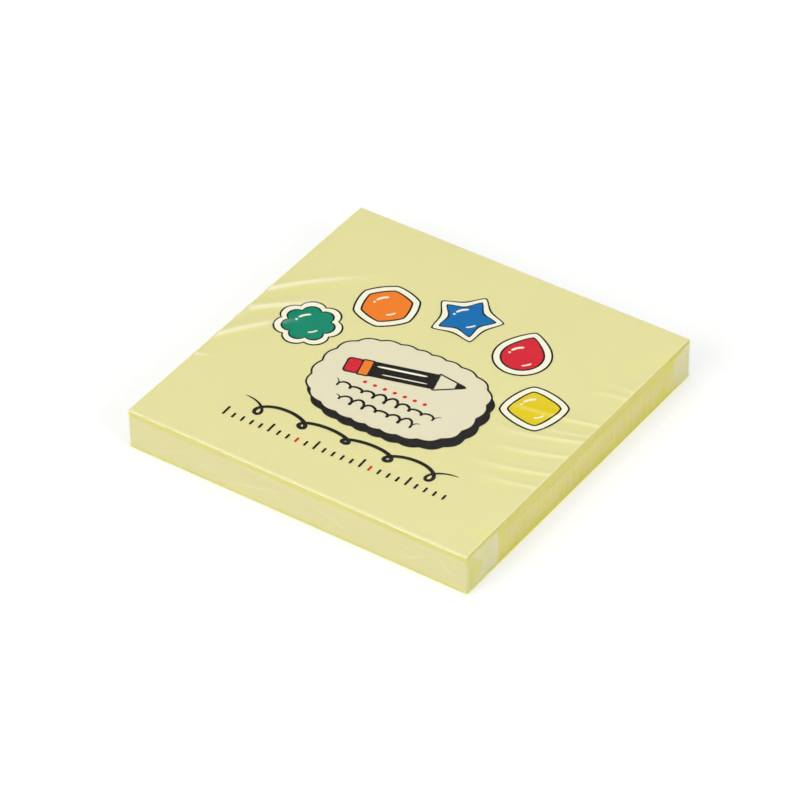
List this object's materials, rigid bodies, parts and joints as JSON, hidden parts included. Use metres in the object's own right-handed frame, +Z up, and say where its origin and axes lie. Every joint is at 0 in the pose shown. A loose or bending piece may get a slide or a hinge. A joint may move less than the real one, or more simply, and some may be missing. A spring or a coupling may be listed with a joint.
{
  "type": "sticky note pad",
  "caption": "Square pad of yellow sticky notes, sealed in a clear folded film overwrap and lying flat.",
  "frame": {"origin": "centre of the pack's base, on the film's underside", "axes": "+Z up out of the pad's face, +Y towards the glued edge of the notes, +X to the reader's right, towards a folded end of the film"},
  "size_m": [0.0768, 0.0766, 0.0091],
  "materials": {
    "note_paper": "matte pale yellow uncoated paper",
    "release_paper": "smooth white coated paper",
    "clear_film": "clear gloss film",
    "print_ink": "gloss printing ink under the film, in eight plain colours"
  },
  "bodies": {
    "root": {"note_block": "note_paper", "release_sheet": "release_paper", "film_overwrap": "clear_film"}
  },
  "joints": []
}
